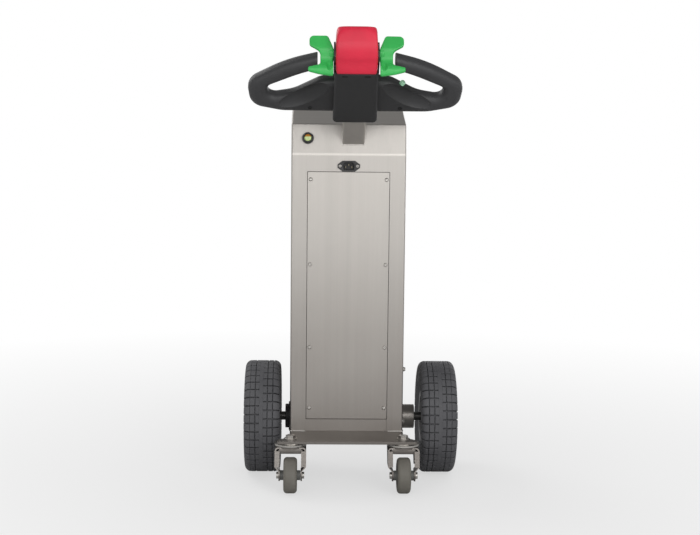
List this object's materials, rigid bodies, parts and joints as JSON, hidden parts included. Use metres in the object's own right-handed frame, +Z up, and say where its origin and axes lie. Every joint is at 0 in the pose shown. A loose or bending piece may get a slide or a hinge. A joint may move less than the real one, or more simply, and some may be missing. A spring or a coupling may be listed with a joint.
{
  "type": "pedestrian electric tow tractor",
  "caption": "Walk-behind electric tug: stainless column on driven wheels and trailing castors, with a looped tiller head, belly button, drive paddles and an upright tow pin.",
  "frame": {"origin": "on the floor under the middle of the whole tug", "axes": "+Z up, +Y forwards to the coupling, +X to the operator's right"},
  "size_m": [0.488, 0.4648, 1.0212],
  "materials": {
    "stainless": "brushed stainless sheet",
    "stainless_cover": "brushed stainless sheet, vertical grain",
    "stainless_plate": "stainless plate",
    "dark_steel": "dark coated steel",
    "drive_casting": "cast housing",
    "battery_case": "moulded case",
    "inlet_plastic": "black moulding",
    "contact_metal": "plated blades",
    "lens": "clear lens",
    "tiller_plastic": "fine-grained moulding",
    "red_plastic": "satin moulding",
    "green_plastic": "satin moulding",
    "pale_green_plastic": "satin moulding",
    "zinc_steel": "bright steel",
    "tyre": "block tread",
    "rim_steel": "grey painted pressing",
    "grey_rubber": "grey rubber",
    "grey_plastic": "grey moulding"
  },
  "bodies": {
    "chassis": {"column_shell": "stainless", "service_cover": "stainless_cover", "front_panel": "stainless_cover", "base_plate": "stainless_plate", "drive_unit": "drive_casting", "battery_pack": "battery_case", "left_axle_tube": "dark_steel", "right_axle_tube": "stainless_plate", "charging_inlet": "inlet_plastic", "inlet_pins": "contact_metal", "key_switch": "inlet_plastic", "key_lens": "lens", "tiller_stem": "stainless", "tiller_head": "tiller_plastic", "left_grip": "tiller_plastic", "right_grip": "tiller_plastic", "belly_button": "red_plastic", "left_paddle": "green_plastic", "right_paddle": "green_plastic", "horn_button": "pale_green_plastic", "tow_bracket": "stainless_plate", "tow_pin": "zinc_steel", "left_castor_head": "zinc_steel", "right_castor_head": "zinc_steel"},
    "left_drive_wheel": {"left_drive_tyre": "tyre", "left_drive_rim": "rim_steel", "left_drive_shaft": "zinc_steel"},
    "left_castor_swivel": {"left_castor_fork": "stainless_plate", "left_castor_axle": "zinc_steel"},
    "left_castor_wheel": {"left_castor_tyre": "grey_rubber", "left_castor_hub": "grey_plastic"},
    "right_drive_wheel": {"right_drive_tyre": "tyre", "right_drive_rim": "rim_steel", "right_drive_shaft": "zinc_steel"},
    "right_castor_swivel": {"right_castor_fork": "stainless_plate", "right_castor_axle": "zinc_steel"},
    "right_castor_wheel": {"right_castor_tyre": "grey_rubber", "right_castor_hub": "grey_plastic"}
  },
  "joints": [
    {"name": "left_drive_spin", "type": "hinge", "parent": "chassis", "child": "left_drive_wheel", "pos_m": [-0.203, 0.0659, 0.13], "axis": [1, 0, 0], "continuous": true},
    {"name": "left_castor_turn", "type": "hinge", "parent": "chassis", "child": "left_castor_swivel", "pos_m": [-0.136, -0.1061, 0.1], "axis": [0, 0, 1], "continuous": true},
    {"name": "left_castor_roll", "type": "hinge", "parent": "left_castor_swivel", "child": "left_castor_wheel", "pos_m": [-0.136, -0.1361, 0.04], "axis": [1, 0, 0], "continuous": true},
    {"name": "right_drive_spin", "type": "hinge", "parent": "chassis", "child": "right_drive_wheel", "pos_m": [0.203, 0.0659, 0.13], "axis": [1, 0, 0], "continuous": true},
    {"name": "right_castor_turn", "type": "hinge", "parent": "chassis", "child": "right_castor_swivel", "pos_m": [0.116, -0.1061, 0.1], "axis": [0, 0, 1], "continuous": true},
    {"name": "right_castor_roll", "type": "hinge", "parent": "right_castor_swivel", "child": "right_castor_wheel", "pos_m": [0.116, -0.1361, 0.04], "axis": [1, 0, 0], "continuous": true}
  ]
}
